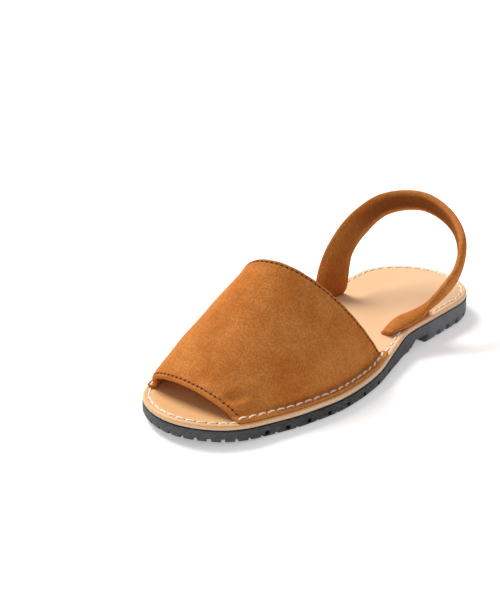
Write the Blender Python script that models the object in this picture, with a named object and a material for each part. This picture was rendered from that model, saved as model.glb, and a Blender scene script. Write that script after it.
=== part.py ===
"""Avarca sandal, left shoe: rubber outsole, leather insole, suede upper and heel strap.

Metres, +Z up, toe towards -Y, lateral side towards +X. The origin is at the middle of the
sole's outline, on the floor.
"""
import math

import bmesh
import bpy
import numpy as np
from mathutils import Vector

# Sole, driving sizes
SOLE_LENGTH = 0.2466
BALL_WIDTH = 0.0919
WAIST_WIDTH = 0.0700
HEEL_WIDTH = 0.0716
TOE_ROUND = 0.038
HEEL_ROUND = 0.034
FOREFOOT_THICKNESS = 0.0068
HEEL_THICKNESS = 0.0127
TOE_SPRING = 0.0031
ARCH_HEIGHT = 0.0050
HEEL_BREAST = 0.1832
BREAST_SLOPE = 0.0012
SOLE_TAPER = 0.0018
TAPER_START = 0.0030

# Tread
GROOVE_WIDTH = 0.0030
GROOVE_DEPTH = 0.0022
FOREFOOT_PITCH = 0.0130
HEEL_PITCH = 0.0098
NOTCH_PITCH = 0.0078
NOTCH_REACH = 0.0085
TREAD_MARGIN = 0.012

# Insole
INSOLE_THICKNESS = 0.0030
INSOLE_INSET = 0.0003
INSOLE_BEVEL = 0.0005

# Upper
SUEDE = 0.0020
HEM_EXTRA = 0.0008
HEM_WIDTH = 0.0055
HEM_STEP = 0.0006
TOE_OPENING_RISE = 0.0116
INSTEP_RISE = 0.0621
UPPER_BULGE = 0.0005
FLANGE_EDGE = 0.0011
FLANGE_FOLD = 0.0044
WALL_FOOT = 0.0055
FLANGE_TAB = 0.0050

# Heel strap
STRAP_WIDTH = 0.0200
STRAP_THICKNESS = 0.0055
STRAP_RISE = 0.0500
STRAP_FLANGE = 0.0016
STRAP_FLANGE_EDGE = 0.0016
MARGIN_TIP = 0.12

CLEARANCE = 0.0003
SOLE_STATIONS = 52
WALL_STATIONS = 18
ARCH_POINTS = 30
STRAP_STATIONS = 56
STRAP_SIDES = 16

# Outline: station from the toe, medial and lateral half widths, the width that they share out
OUTLINE = (
    (0.000, 0.426, 0.402, BALL_WIDTH),
    (0.123, 0.417, 0.413, BALL_WIDTH),
    (0.238, 0.452, 0.499, BALL_WIDTH),
    (0.358, 0.445, 0.550, BALL_WIDTH),
    (0.483, 0.384, 0.519, BALL_WIDTH),
    (0.591, 0.440, 0.576, WAIST_WIDTH),
    (0.674, 0.460, 0.508, WAIST_WIDTH),
    (0.764, 0.496, 0.502, HEEL_WIDTH),
    (0.865, 0.515, 0.495, HEEL_WIDTH),
    (1.000, 0.502, 0.518, HEEL_WIDTH),
)

# Side line: station, lift of TOE_SPRING, climb from forefoot to heel thickness, lift of ARCH_HEIGHT
SIDE_LINE = (
    (0.00, 1.00, 0.00, 0.00),
    (0.06, 0.60, 0.00, 0.00),
    (0.13, 0.22, 0.00, 0.00),
    (0.20, 0.00, 0.00, 0.00),
    (0.42, 0.00, 0.02, 0.00),
    (0.50, 0.00, 0.13, 0.00),
    (0.56, 0.00, 0.38, 0.00),
    (0.62, 0.00, 0.70, 0.00),
    (0.67, 0.00, 0.86, 0.00),
    (0.70, 0.00, 0.93, 1.00),
    (0.76, 0.00, 1.00, 1.00),
    (1.00, 0.00, 1.00, 1.00),
)

# Upper's front and back edges: lateral and medial stations of the foot, rise of the crown,
# how far the crown leans forward (share of length) and to the medial side (share of width),
# roundness of the arch's lateral and medial halves (2 is an ellipse)
UPPER_EDGES = (
    (0.084, 0.085, TOE_OPENING_RISE, 0.009, 0.073, 1.85, 2.17),
    (0.535, 0.466, INSTEP_RISE, 0.154, 0.069, 2.14, 2.07),
)

# Heel strap from its lateral tip to its medial foot: across (share of HEEL_WIDTH), along from
# the sole's middle (share of SOLE_LENGTH), height over the insole (share of STRAP_RISE), width
# (share of STRAP_WIDTH), thickness (share of STRAP_THICKNESS), outward flare in degrees
STRAP_LINE = (
    (0.337, 0.111, 0.033, 0.36, 0.46, 76),
    (0.345, 0.171, 0.046, 0.57, 0.89, 91),
    (0.389, 0.224, 0.090, 0.63, 0.97, 68),
    (0.452, 0.270, 0.228, 0.58, 1.00, 37),
    (0.491, 0.327, 0.465, 0.65, 1.00, 20),
    (0.431, 0.370, 0.708, 0.65, 1.00, 0),
    (0.262, 0.407, 0.870, 0.62, 0.95, -11),
    (-0.085, 0.416, 1.019, 0.62, 0.95, -6),
    (-0.352, 0.363, 0.952, 0.70, 0.95, 7),
    (-0.430, 0.302, 0.789, 0.80, 0.92, 19),
    (-0.419, 0.218, 0.535, 0.92, 0.88, 25),
    (-0.427, 0.190, -0.021, 1.00, 0.85, 16),
    (-0.422, 0.187, -0.159, 1.00, 0.85, 5),
)

# Stitched-down margins of the strap: side, first and last station, inner line (share of HEEL_WIDTH)
STRAP_MARGINS = (
    (1, 0.640, 0.775, 0.345),
    (-1, 0.655, 0.726, 0.420),
)


def clear_scene():
    for thing in list(bpy.data.objects):
        bpy.data.objects.remove(thing)


def finish(name, colour, roughness):
    """A plain material: base colour and roughness, not metallic."""
    material = bpy.data.materials.new(name)
    material.use_nodes = True
    shader = material.node_tree.nodes["Principled BSDF"]
    shader.inputs["Base Color"].default_value = (*colour, 1.0)
    shader.inputs["Roughness"].default_value = roughness
    shader.inputs["Metallic"].default_value = 0.0
    return material


def follow(rows, column, at, level=True):
    """Smooth curve through a table's column; level keeps it from overshooting its rows."""
    at = np.clip(at, rows[0][0], rows[-1][0])
    place = np.array([row[0] for row in rows])
    value = np.array([column(row) for row in rows])
    secant = np.diff(value) / np.diff(place)
    slope = np.gradient(value, place)
    if level:
        slope[1:-1] = np.where(secant[1:] * secant[:-1] > 0, slope[1:-1], 0.0)
        slope[0] = slope[-1] = 0.0
        steepest = 3.0 * np.minimum(abs(np.append(secant, secant[-1])), abs(np.insert(secant, 0, secant[0])))
        slope = np.clip(slope, -steepest, steepest)
    index = np.clip(np.searchsorted(place, at, side="right") - 1, 0, len(place) - 2)
    step = place[index + 1] - place[index]
    t = (at - place[index]) / step
    return (value[index] * (1 + 2 * t) * (1 - t) ** 2 + slope[index] * step * t * (1 - t) ** 2
            + value[index + 1] * t ** 2 * (3 - 2 * t) + slope[index + 1] * step * t ** 2 * (t - 1))


def end_rounding(station):
    """Share of the half width that is left inside the toe's and the heel's rounds."""
    from_toe = np.clip(1 - station * SOLE_LENGTH / TOE_ROUND, 0, 1)
    from_heel = np.clip(1 - (1 - station) * SOLE_LENGTH / HEEL_ROUND, 0, 1)
    return np.sqrt(np.clip((1 - from_toe ** 2) * (1 - from_heel ** 2), 0, 1))


def sole_stations():
    """Stations from toe to heel, close together at both ends, with two at the heel breast."""
    even = 0.5 - 0.5 * np.cos(np.linspace(0, math.pi, SOLE_STATIONS + 1))
    breast = np.array([HEEL_BREAST - BREAST_SLOPE, HEEL_BREAST]) / SOLE_LENGTH
    away = even[np.min(abs(even[:, None] - breast[None]), axis=1) > 0.5 * BREAST_SLOPE / SOLE_LENGTH]
    return np.sort(np.concatenate([away, breast]))


STATIONS = sole_stations()


def full_outline():
    """The sole's outline: toe tip, lateral side, heel tip, medial side back to the toe."""
    rounded = end_rounding(STATIONS)
    lateral = follow(OUTLINE, lambda row: row[2] * row[3], STATIONS) * rounded
    medial = follow(OUTLINE, lambda row: row[1] * row[3], STATIONS) * rounded
    along = (STATIONS - 0.5) * SOLE_LENGTH
    middle = 0.5 * (lateral.max() - medial.max())
    right = np.column_stack([lateral, along])
    left = np.column_stack([-medial, along])[-2:0:-1]
    return np.concatenate([right, left]) - np.array([middle, 0.0])


FULL_OUTLINE = full_outline()


def inset_outline(inset):
    """The outline moved inwards by the same distance all round."""
    chord = np.roll(FULL_OUTLINE, -1, axis=0) - np.roll(FULL_OUTLINE, 1, axis=0)
    outward = np.column_stack([chord[:, 1], -chord[:, 0]])
    outward /= np.linalg.norm(outward, axis=1)[:, None]
    return FULL_OUTLINE - inset * outward


def edge_x(side, along, inset):
    """Across place of the lateral (1) or medial (-1) edge, moved inwards."""
    ring = inset_outline(inset)
    heel = len(STATIONS) - 1
    part = ring[:heel + 1] if side > 0 else np.concatenate([ring[heel:], ring[:1]])[::-1]
    return np.interp(along, part[:, 1], part[:, 0])


def station_of(along):
    return along / SOLE_LENGTH + 0.5


def lifted(station):
    return TOE_SPRING * follow(SIDE_LINE, lambda row: row[1], station)


def outsole_top(station):
    climb = follow(SIDE_LINE, lambda row: row[2], station)
    return lifted(station) + FOREFOOT_THICKNESS + climb * (HEEL_THICKNESS - FOREFOOT_THICKNESS)


def outsole_bottom(station):
    arch = ARCH_HEIGHT * follow(SIDE_LINE, lambda row: row[3], station)
    return lifted(station) + np.where(station < HEEL_BREAST / SOLE_LENGTH - 1e-6, arch, 0.0)


def insole_top(station):
    return outsole_top(station) + CLEARANCE + INSOLE_THICKNESS


def body(name, rings, pairs, material):
    """A closed solid: rings bridged in turn, both ends closed by strips between paired points."""
    shape = bmesh.new()
    rows = [[shape.verts.new(Vector(map(float, point))) for point in ring] for ring in rings]
    count = len(rows[0])
    for lower, upper in zip(rows, rows[1:]):
        for i in range(count):
            j = (i + 1) % count
            shape.faces.new((lower[i], lower[j], upper[j], upper[i]))
    for ring in (rows[0], rows[-1]):
        for (a, b), (c, d) in zip(pairs, pairs[1:]):
            corners = [ring[k] for k in dict.fromkeys((a, c, d, b))]
            shape.faces.new(corners)
    bmesh.ops.recalc_face_normals(shape, faces=shape.faces)
    mesh = bpy.data.meshes.new(name)
    shape.to_mesh(mesh)
    shape.free()
    thing = bpy.data.objects.new(name, mesh)
    bpy.context.scene.collection.objects.link(thing)
    if material:
        mesh.materials.append(material)
    mesh.shade_smooth()
    mesh.set_sharp_from_angle(angle=math.radians(40))
    return thing


def as_tool(thing):
    """Marks a shape that only cuts or joins."""
    thing.hide_render = True
    thing.display_type = "WIRE"
    return thing


def combine(target, tool, operation):
    modifier = target.modifiers.new(operation.title(), "BOOLEAN")
    modifier.operation = operation
    modifier.solver = "EXACT"
    modifier.use_self = True
    modifier.object = as_tool(tool)


def sole_pairs():
    """Lateral and medial points at the same station of an outline ring."""
    count = len(FULL_OUTLINE)
    return [(i, (count - i) % count) for i in range(len(STATIONS))]


def level_ring(inset, height):
    ring = inset_outline(inset)
    return np.column_stack([ring, height(station_of(ring[:, 1]))])


def box_at(name, centre, turn, size):
    """A box on its plan centre, turned about Z; size is across, along and height above z = 0."""
    thing = body(name, box_rings(size), [(0, 3), (1, 2)], None)
    c, s = math.cos(turn), math.sin(turn)
    for vertex in thing.data.vertices:
        x, y, z = vertex.co
        vertex.co = (centre[0] + c * x - s * y, centre[1] + s * x + c * y, z + centre[2])
    return thing


def box_rings(size):
    x, y, z = size[0] / 2, size[1] / 2, size[2]
    return [[(-x, -y, low), (x, -y, low), (x, y, low), (-x, y, low)] for low in (-z, z)]


def groove_stations():
    """Where the cross grooves lie: under the forefoot up to the arch, and under the heel."""
    first = TOE_ROUND * 0.62 / SOLE_LENGTH
    forefoot = np.arange(first, (HEEL_BREAST - TREAD_MARGIN) / SOLE_LENGTH, FOREFOOT_PITCH / SOLE_LENGTH)
    last = 1 - HEEL_ROUND * 0.40 / SOLE_LENGTH
    heel = np.arange((HEEL_BREAST + HEEL_PITCH) / SOLE_LENGTH, last, HEEL_PITCH / SOLE_LENGTH)
    return np.concatenate([forefoot, heel])


def notch_places():
    """Points and directions of the short radial notches round the toe and the heel."""
    ring = FULL_OUTLINE
    closed = np.vstack([ring, ring[:1]])
    run = np.concatenate([[0], np.cumsum(np.linalg.norm(np.diff(closed, axis=0), axis=1))])
    heel_run = run[len(STATIONS) - 1]
    places = []
    for centre, reach in ((0.0, TOE_ROUND * 0.72), (heel_run, HEEL_ROUND * 0.80)):
        count = int(reach / NOTCH_PITCH)
        for k in range(-count, count + 1):
            at = (centre + k * NOTCH_PITCH) % run[-1]
            point = np.array([np.interp(at, run, closed[:, 0]), np.interp(at, run, closed[:, 1])])
            ahead = (at + 0.001) % run[-1]
            tangent = np.array([np.interp(ahead, run, closed[:, 0]), np.interp(ahead, run, closed[:, 1])]) - point
            places.append((point, math.atan2(tangent[1], tangent[0])))
    return places


def tread_cutter():
    """All grooves and notches as one tool."""
    pieces = []
    for station in groove_stations():
        along = (station - 0.5) * SOLE_LENGTH
        height = float(outsole_bottom(np.array([station]))[0])
        size = (BALL_WIDTH * 1.3, GROOVE_WIDTH, GROOVE_DEPTH)
        pieces.append(box_at("groove", (0.0, along, height), 0.0, size))
    for point, turn in notch_places():
        height = float(outsole_bottom(np.array([station_of(point[1])]))[0])
        size = (GROOVE_WIDTH, 2 * NOTCH_REACH, GROOVE_DEPTH)
        pieces.append(box_at("notch", (point[0], point[1], height), turn, size))
    shape = bmesh.new()
    for piece in pieces:
        shape.from_mesh(piece.data)
        bpy.data.objects.remove(piece)
    mesh = bpy.data.meshes.new("tread_cutter")
    shape.to_mesh(mesh)
    shape.free()
    tool = bpy.data.objects.new("tread_cutter", mesh)
    bpy.context.scene.collection.objects.link(tool)
    return tool


def make_outsole():
    rubber = finish("rubber", (0.045, 0.048, 0.052), 0.75)
    rings = [
        level_ring(SOLE_TAPER, outsole_bottom),
        level_ring(0.0, lambda station: outsole_top(station) - TAPER_START),
        level_ring(0.0, outsole_top),
    ]
    thing = body("outsole", rings, sole_pairs(), rubber)
    combine(thing, tread_cutter(), "DIFFERENCE")
    return thing


def make_insole():
    leather = finish("insole leather", (0.86, 0.58, 0.34), 0.55)
    rings = [
        level_ring(INSOLE_INSET, lambda station: outsole_top(station) + CLEARANCE),
        level_ring(INSOLE_INSET, lambda station: insole_top(station) - INSOLE_BEVEL),
        level_ring(INSOLE_INSET + INSOLE_BEVEL, insole_top),
    ]
    return body("insole", rings, sole_pairs(), leather)


def upper_surface(share, turn):
    """Points of the upper's outer face: share from front to back edge, turn from lateral to medial."""
    front, back = UPPER_EDGES
    value = [f + (b - f) * share for f, b in zip(front, back)]
    lateral, medial = (value[0] - 0.5) * SOLE_LENGTH, (value[1] - 0.5) * SOLE_LENGTH
    x_lateral = edge_x(1, lateral, WALL_FOOT)
    x_medial = edge_x(-1, medial, WALL_FOOT)
    power = 2 / np.where(turn < math.pi / 2, value[5], value[6])
    c, s = np.cos(turn), np.sin(turn)
    across = 0.5 + 0.5 * np.sign(c) * abs(c) ** power
    up = np.clip(s, 0, 1) ** power
    rise = value[2] + UPPER_BULGE * 4 * share * (1 - share) - CLEARANCE - SUEDE
    x = x_medial + (x_lateral - x_medial) * across - value[4] * BALL_WIDTH * up
    y = medial + (lateral - medial) * across - value[3] * SOLE_LENGTH * up
    z = insole_top(station_of(medial + (lateral - medial) * across)) + CLEARANCE + SUEDE + rise * up
    return np.stack([x, y, z], axis=-1)


def upper_shares():
    """Shares from the front to the back edge, with a step at each hem's inner side."""
    run = SOLE_LENGTH * 0.5 * sum(UPPER_EDGES[1][k] - UPPER_EDGES[0][k] for k in (0, 1))
    hem, step = HEM_WIDTH / run, HEM_STEP / run
    inside = np.linspace(hem + step, 1 - hem - step, WALL_STATIONS)
    shares = np.concatenate([[0.0, hem], inside, [1 - hem, 1.0]])
    thick = np.full(len(shares), SUEDE)
    thick[[0, 1, -2, -1]] += HEM_EXTRA
    return shares, thick


def flange_points(side, share, height):
    """The stitched-down margin at one side: outer edge and fold, on the insole plus height."""
    front, back = UPPER_EDGES
    column = 0 if side > 0 else 1
    start = (front[column] - 0.5) * SOLE_LENGTH
    end = (back[column] - 0.5) * SOLE_LENGTH
    points = []
    for inset, tab in ((FLANGE_EDGE, FLANGE_TAB), (FLANGE_FOLD, 0.4 * FLANGE_TAB)):
        along = start + (end + tab - start) * share
        base = float(insole_top(np.array([station_of(along)]))[0])
        points.append((float(edge_x(side, along, inset)), along, base + CLEARANCE + height))
    return points


def make_upper():
    suede = finish("tan suede", (0.48, 0.20, 0.055), 0.9)
    shares, thick = upper_shares()
    turn = np.linspace(0, math.pi, ARCH_POINTS)
    small = 1e-4
    rings = []
    for share, wall in zip(shares, thick):
        outer = upper_surface(share, turn)
        along = upper_surface(share + small, turn) - upper_surface(share - small, turn)
        round_it = upper_surface(share, turn + small) - upper_surface(share, turn - small)
        round_it[0], round_it[-1] = (0, 0, 1), (0, 0, -1)
        normal = np.cross(along, round_it)
        normal /= np.linalg.norm(normal, axis=1)[:, None]
        middle = len(turn) // 2
        if normal[middle][2] < 0:
            normal = -normal
        inner = outer - wall * normal
        for foot in (0, -1):
            inner[foot] = outer[foot] - SUEDE * normal[foot]
            inner[foot][2] = outer[foot][2] - SUEDE
        lateral_top, medial_top = flange_points(1, share, SUEDE), flange_points(-1, share, SUEDE)
        lateral_low, medial_low = flange_points(1, share, 0.0), flange_points(-1, share, 0.0)
        outside = [*lateral_top, *outer, *medial_top[::-1]]
        inside = [*lateral_low, *inner, *medial_low[::-1]]
        rings.append([*outside, *inside[::-1]])
    count = len(rings[0])
    pairs = [(k, count - 1 - k) for k in range(count // 2)]
    return body("upper", rings, pairs, suede)


def strap_frame():
    """The strap's line: middle points, across directions, face directions, width and thickness."""
    table = np.array(STRAP_LINE)
    base = insole_top(table[:, 1] + 0.5)
    points = np.column_stack([table[:, 0] * HEEL_WIDTH, table[:, 1] * SOLE_LENGTH, base + table[:, 2] * STRAP_RISE])
    run = np.concatenate([[0], np.cumsum(np.linalg.norm(np.diff(points, axis=0), axis=1))])
    rows = [(run[k] / run[-1], *points[k], *table[k, 3:]) for k in range(len(table))]
    at = np.linspace(0, 1, STRAP_STATIONS)
    line = np.column_stack([follow(rows, lambda row, c=c: row[c], at, level=False) for c in range(1, 7)])
    middle = line[:, :3]
    tangent = np.gradient(middle, axis=0)
    tangent /= np.linalg.norm(tangent, axis=1)[:, None]
    outward = np.cross(tangent, (0.0, 0.0, 1.0))
    outward /= np.linalg.norm(outward, axis=1)[:, None]
    upright = np.cross(outward, tangent)
    flare = np.radians(line[:, 5])[:, None]
    across = np.cos(flare) * upright + np.sin(flare) * outward
    face = np.cross(tangent, across)
    return middle, across, face, line[:, 3] * STRAP_WIDTH, line[:, 4] * STRAP_THICKNESS


def strap_band():
    middle, across, face, width, thickness = strap_frame()
    rings = []
    for k in range(len(middle)):
        ring = []
        for step in range(STRAP_SIDES):
            angle = 2 * math.pi * (step + 0.5) / STRAP_SIDES
            c, s = math.cos(angle), math.sin(angle)
            u = math.copysign(abs(c) ** 0.75, c) * width[k] / 2
            v = math.copysign(abs(s) ** 0.85, s) * thickness[k] / 2
            ring.append(middle[k] + u * across[k] + v * face[k])
        rings.append(ring)
    pairs = [(k, STRAP_SIDES - 1 - k) for k in range(STRAP_SIDES // 2)]
    return rings, pairs


def strap_margin(side, first, last, inner):
    """A stitched-down margin beside the strap's foot, with rounded ends."""
    rings = []
    for k in range(13):
        share = k / 12
        along = (first + (last - first) * share - 0.5) * SOLE_LENGTH
        out_x = float(edge_x(side, along, STRAP_FLANGE_EDGE))
        in_x = side * inner * HEEL_WIDTH
        wide = (MARGIN_TIP + (1 - MARGIN_TIP) * math.sin(math.pi * share) ** 0.5) * (out_x - in_x)
        base = float(insole_top(np.array([station_of(along)]))[0]) + CLEARANCE
        low, high = base - STRAP_FLANGE, base + STRAP_FLANGE
        rings.append([(in_x, along, low), (in_x + wide, along, low), (in_x + wide, along, high), (in_x, along, high)])
    return body("margin", rings, [(0, 3), (1, 2)], None)


def under_insole():
    """Everything below the strap's seat: up to a clearance over the insole."""
    half = BALL_WIDTH
    rings = []
    for station in STATIONS:
        along = (station - 0.5) * SOLE_LENGTH
        top = float(insole_top(np.array([station]))[0]) + CLEARANCE
        rings.append([(-half, along, -half), (half, along, -half), (half, along, top), (-half, along, top)])
    return body("under_insole", rings, [(0, 3), (1, 2)], None)


def make_heel_strap():
    suede = finish("tan suede strap", (0.48, 0.20, 0.055), 0.9)
    rings, pairs = strap_band()
    thing = body("heel_strap", rings, pairs, suede)
    for margin in STRAP_MARGINS:
        combine(thing, strap_margin(*margin), "UNION")
    combine(thing, under_insole(), "DIFFERENCE")
    return thing


def main():
    clear_scene()
    make_outsole()
    make_insole()
    make_upper()
    make_heel_strap()


main()
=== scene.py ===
"""Avarca sandal, left shoe: suede upper and heel strap, leather insole, rubber outsole.

Metres, +Z up, toe towards -Y, lateral side towards +X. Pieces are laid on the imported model,
and the sizes below are the model's own.
"""
import math

import bmesh
import bpy
import numpy as np
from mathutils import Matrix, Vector


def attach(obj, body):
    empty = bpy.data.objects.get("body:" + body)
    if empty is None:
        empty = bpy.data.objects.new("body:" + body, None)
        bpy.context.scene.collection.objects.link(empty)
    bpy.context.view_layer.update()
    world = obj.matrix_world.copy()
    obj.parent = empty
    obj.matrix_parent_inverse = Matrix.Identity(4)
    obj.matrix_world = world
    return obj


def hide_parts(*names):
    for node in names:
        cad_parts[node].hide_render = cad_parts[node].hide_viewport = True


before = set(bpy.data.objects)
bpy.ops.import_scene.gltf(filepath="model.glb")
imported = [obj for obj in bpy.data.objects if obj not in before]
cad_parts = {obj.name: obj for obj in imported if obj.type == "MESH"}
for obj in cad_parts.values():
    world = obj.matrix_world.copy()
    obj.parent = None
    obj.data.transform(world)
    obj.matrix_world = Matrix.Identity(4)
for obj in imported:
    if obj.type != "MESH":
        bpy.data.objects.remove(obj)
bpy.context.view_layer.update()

MM = 0.001

# Sole
SOLE_LENGTH = 246.6 * MM
BALL_WIDTH = 91.9 * MM
WAIST_WIDTH = 70.0 * MM
HEEL_WIDTH = 71.6 * MM
TOE_ROUND = 38.0 * MM
HEEL_ROUND = 34.0 * MM
FOREFOOT_THICKNESS = 6.8 * MM
HEEL_THICKNESS = 12.7 * MM
TOE_SPRING = 3.1 * MM
ARCH_HEIGHT = 5.0 * MM
HEEL_BREAST = 183.2 * MM
BREAST_SLOPE = 1.2 * MM
SOLE_TAPER = 1.8 * MM
EDGE_ROUND = 2.5 * MM
HEEL_EDGE = 1.5

# Tread: pitches, widths and heights of the cuts in the lower edge
TOE_PITCH = 7.4 * MM
SIDE_PITCH = 14.0 * MM
HEEL_PITCH = 9.8 * MM
GROOVE_WIDTH = 3.0 * MM
GROOVE_DEPTH = 2.2 * MM
FOREFOOT_PITCH = 13.0 * MM
TREAD_MARGIN = 12.0 * MM
OVERRUN = 2.0 * MM
GROOVE_END = 3.5 * MM
FOREFOOT_END = 0.6
FIRST_GROOVE = TOE_ROUND * 0.62
LAST_GROOVE = HEEL_ROUND * 0.40
FIRST_SIDE_CUT = 7.6 * TOE_PITCH
SIDE_CUTS_END = 0.61
SIDE_NOTCH_SHIFT = {1: 0.45 * SIDE_PITCH, -1: -6.0 * MM}

# Cuts in the edge: foot and top over the sole's bottom, width below and above, reach inwards
TOE_NOTCH = (-OVERRUN, 2.5 * MM, 3.0 * MM, 2.0 * MM, 7.0 * MM)
SIDE_RECESS = (1.5 * MM, 3.9 * MM, 2.7 * MM, 2.5 * MM, 3.2 * MM)
SIDE_NOTCH = (-OVERRUN, 1.3 * MM, 3.2 * MM, 2.4 * MM, 3.0 * MM)
HEEL_NOTCH = (-OVERRUN, 5.0 * MM, 5.2 * MM, 3.4 * MM, 9.0 * MM)

# The outsole's side: inset and height over its bottom, inset and depth under its top
EDGE_BELOW = ((SOLE_TAPER, 0.0), (1.0 * MM, 0.4 * MM), (0.45 * MM, 1.1 * MM), (0.1 * MM, 1.9 * MM),
              (0.0, EDGE_ROUND))
EDGE_ABOVE = ((0.0, 0.5 * MM), (0.05 * MM, 0.2 * MM), (0.25 * MM, 0.0))

# Painted shade, near black, in the recess before the heel: where it fades in and out, and its top
PAINTED_SHADE_FRONT = (0.044, 0.049)
PAINTED_SHADE_BACK = (0.062, 0.057)
PAINTED_SHADE_TOP = (0.0062, 0.0052)

# Insole
INSOLE_THICKNESS = 3.0 * MM
INSOLE_INSET = 0.3 * MM
STITCH_INSET = 3.6 * MM
CHANNEL_DEPTH = 0.30 * MM
CHANNEL_WIDTH = 1.5 * MM

# Upper
SUEDE = 2.0 * MM
HEM_EXTRA = 0.8 * MM
HEM_WIDTH = 5.5 * MM
TOE_OPENING_RISE = 11.6 * MM
INSTEP_RISE = 62.1 * MM
UPPER_BULGE = 0.5 * MM
FLANGE_EDGE = 1.1 * MM
WALL_FOOT = 5.5 * MM
FLANGE_TAB = 5.0 * MM
FOLD_RADIUS = 0.9 * MM

# Heel strap
STRAP_WIDTH = 20.0 * MM
STRAP_THICKNESS = 5.5 * MM
STRAP_RISE = 50.0 * MM
STRAP_MARGIN = 1.6 * MM
MARGIN_INSET = 1.6 * MM
TROUGH_DEPTH = 0.42
TROUGH_HALF = 0.62

CLEARANCE = 0.3 * MM

# Thread
STITCH_PITCH = 5.8 * MM
STITCH_LENGTH = 4.5 * MM
HEM_PITCH = 2.9 * MM
FRONT_HEM_LINE = 3.0 * MM
BACK_HEM_LINE = 2.2 * MM

# Outline: station from the toe, medial and lateral half widths, the width that they share out
OUTLINE = (
    (0.000, 0.426, 0.402, BALL_WIDTH),
    (0.123, 0.417, 0.413, BALL_WIDTH),
    (0.238, 0.452, 0.499, BALL_WIDTH),
    (0.358, 0.445, 0.550, BALL_WIDTH),
    (0.483, 0.384, 0.519, BALL_WIDTH),
    (0.591, 0.440, 0.576, WAIST_WIDTH),
    (0.674, 0.460, 0.508, WAIST_WIDTH),
    (0.764, 0.496, 0.502, HEEL_WIDTH),
    (0.865, 0.515, 0.495, HEEL_WIDTH),
    (1.000, 0.502, 0.518, HEEL_WIDTH),
)

# Side line: station, lift of TOE_SPRING, climb from forefoot to heel thickness, lift of ARCH_HEIGHT
SIDE_LINE = (
    (0.00, 1.00, 0.00, 0.00),
    (0.06, 0.60, 0.00, 0.00),
    (0.13, 0.22, 0.00, 0.00),
    (0.20, 0.00, 0.00, 0.00),
    (0.42, 0.00, 0.02, 0.00),
    (0.50, 0.00, 0.13, 0.00),
    (0.56, 0.00, 0.38, 0.00),
    (0.62, 0.00, 0.70, 0.00),
    (0.67, 0.00, 0.86, 0.00),
    (0.70, 0.00, 0.93, 1.00),
    (0.76, 0.00, 1.00, 1.00),
    (1.00, 0.00, 1.00, 1.00),
)

# Upper's edges: lateral and medial stations of the foot, rise, forward lean, medial lean,
# roundness of the lateral and the medial half
UPPER_EDGES = (
    (0.084, 0.085, TOE_OPENING_RISE, 0.009, 0.073, 1.85, 2.17),
    (0.535, 0.466, INSTEP_RISE, 0.154, 0.069, 2.14, 2.07),
)

# Soft shapes of the upper's wall: share from front to back, turn in degrees from the lateral
# foot over the crown, half lengths in share and in degrees, height (a trough is below zero)
SOFT_SHAPES = (
    (0.10, 27, 0.09, 13, -1.6 * MM),
    (0.05, 60, 0.06, 14, 0.7 * MM),
    (0.22, 66, 0.10, 11, 0.5 * MM),
    (0.30, 34, 0.12, 10, 0.4 * MM),
    (0.42, 96, 0.13, 12, -0.5 * MM),
    (0.55, 52, 0.15, 12, -0.4 * MM),
    (0.62, 120, 0.14, 12, 0.5 * MM),
    (0.72, 80, 0.12, 10, 0.4 * MM),
    (0.80, 30, 0.10, 12, -0.4 * MM),
    (0.86, 140, 0.10, 10, -0.5 * MM),
    (0.93, 58, 0.05, 12, 0.5 * MM),
    (0.94, 100, 0.05, 12, -0.4 * MM),
)

# Heel strap from its lateral tip to its medial foot: across (share of HEEL_WIDTH), along from
# the sole's middle (share of SOLE_LENGTH), height over the insole (share of STRAP_RISE), width
# (share of STRAP_WIDTH), thickness (share of STRAP_THICKNESS), outward flare in degrees
STRAP_LINE = (
    (0.337, 0.111, 0.033, 0.36, 0.46, 76),
    (0.345, 0.171, 0.046, 0.57, 0.89, 91),
    (0.389, 0.224, 0.090, 0.63, 0.97, 68),
    (0.452, 0.270, 0.228, 0.58, 1.00, 37),
    (0.491, 0.327, 0.465, 0.65, 1.00, 20),
    (0.431, 0.370, 0.708, 0.65, 1.00, 0),
    (0.262, 0.407, 0.870, 0.62, 0.95, -11),
    (-0.085, 0.416, 1.019, 0.62, 0.95, -6),
    (-0.352, 0.363, 0.952, 0.70, 0.95, 7),
    (-0.430, 0.302, 0.789, 0.80, 0.92, 19),
    (-0.419, 0.218, 0.535, 0.92, 0.88, 25),
    (-0.427, 0.190, -0.021, 1.00, 0.85, 16),
    (-0.422, 0.187, -0.159, 1.00, 0.85, 5),
)

# Stitched-down margins of the strap: side, first and last station, inner line (share of HEEL_WIDTH)
STRAP_MARGINS = (
    (1, 0.640, 0.775, 0.345),
    (-1, 0.655, 0.726, 0.420),
)


def follow(rows, column, at, level=True):
    """Smooth curve through a table's column; level keeps it from overshooting its rows."""
    at = np.clip(at, rows[0][0], rows[-1][0])
    place = np.array([row[0] for row in rows])
    value = np.array([column(row) for row in rows])
    secant = np.diff(value) / np.diff(place)
    slope = np.gradient(value, place)
    if level:
        slope[1:-1] = np.where(secant[1:] * secant[:-1] > 0, slope[1:-1], 0.0)
        slope[0] = slope[-1] = 0.0
        steepest = 3.0 * np.minimum(abs(np.append(secant, secant[-1])), abs(np.insert(secant, 0, secant[0])))
        slope = np.clip(slope, -steepest, steepest)
    index = np.clip(np.searchsorted(place, at, side="right") - 1, 0, len(place) - 2)
    step = place[index + 1] - place[index]
    t = (at - place[index]) / step
    return (value[index] * (1 + 2 * t) * (1 - t) ** 2 + slope[index] * step * t * (1 - t) ** 2
            + value[index + 1] * t ** 2 * (3 - 2 * t) + slope[index + 1] * step * t ** 2 * (t - 1))


def end_rounding(station):
    from_toe = np.clip(1 - station * SOLE_LENGTH / TOE_ROUND, 0, 1)
    from_heel = np.clip(1 - (1 - station) * SOLE_LENGTH / HEEL_ROUND, 0, 1)
    return np.sqrt(np.clip((1 - from_toe ** 2) * (1 - from_heel ** 2), 0, 1))


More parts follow.
